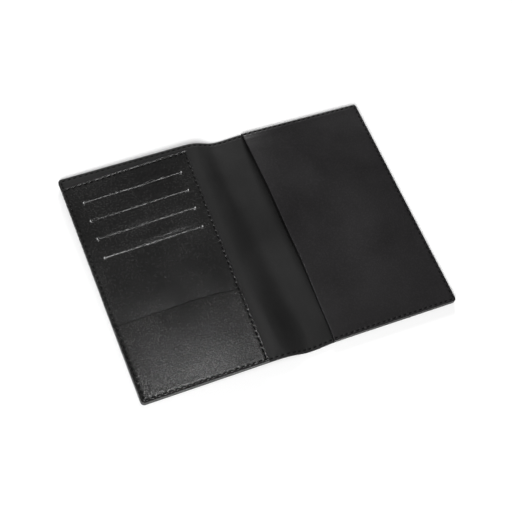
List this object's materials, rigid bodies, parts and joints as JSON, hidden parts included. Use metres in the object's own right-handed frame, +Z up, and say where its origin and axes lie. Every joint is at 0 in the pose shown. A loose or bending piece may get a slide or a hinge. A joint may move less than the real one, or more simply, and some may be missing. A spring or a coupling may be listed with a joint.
{
  "type": "passport holder",
  "caption": "Leather passport holder lying open: a folding cover and spine, a stitched card panel with slots and a lower pocket on one leaf, and a passport sleeve on the other.",
  "frame": {"origin": "on the table under the centre of the open holder's outline", "axes": "+X from the card side to the passport side, +Y to the top edge, +Z up out of the inside faces"},
  "size_m": [0.1886, 0.14, 0.0072],
  "materials": {
    "cover_leather": "pebbled, satin",
    "lining_leather": "smooth, satin",
    "card_leather": "fine grain, semi-gloss",
    "sleeve_leather": "smooth, matt",
    "liner_cloth": "fine plain weave, matt",
    "board": "grey board, matt",
    "thread": "waxed twisted thread"
  },
  "bodies": {
    "back_leaf": {"outer_cover_back": "cover_leather", "lining_back": "lining_leather", "stiffener_back": "board", "passport_sleeve": "sleeve_leather", "stitching_inside_back": "thread", "stitching_outside_back": "thread"},
    "spine": {"outer_cover_spine": "cover_leather", "lining_spine": "lining_leather", "stitching_inside_spine": "thread", "stitching_outside_spine": "thread"},
    "front_leaf": {"outer_cover_front": "cover_leather", "lining_front": "lining_leather", "stiffener_front": "board", "card_panel": "card_leather", "card_liner_1": "liner_cloth", "card_liner_2": "liner_cloth", "card_liner_3": "liner_cloth", "card_liner_4": "liner_cloth", "lower_pocket": "card_leather", "stitching_inside_front": "thread", "stitching_outside_front": "thread", "stitching_card_panel": "thread", "slot_end_tacks": "thread"}
  },
  "joints": [
    {"name": "spine_fold", "type": "hinge", "parent": "back_leaf", "child": "spine", "pos_m": [0.005, 0, 0.0015], "axis": [0, 1, 0], "range_deg": [0, 88]},
    {"name": "cover_fold", "type": "hinge", "parent": "spine", "child": "front_leaf", "pos_m": [-0.005, 0, 0.00186], "axis": [0, 1, 0], "range_deg": [0, 93.2]}
  ],
  "couplings": [
    {"joint": "cover_fold", "follows": "spine_fold", "ratio": 1.059}
  ]
}
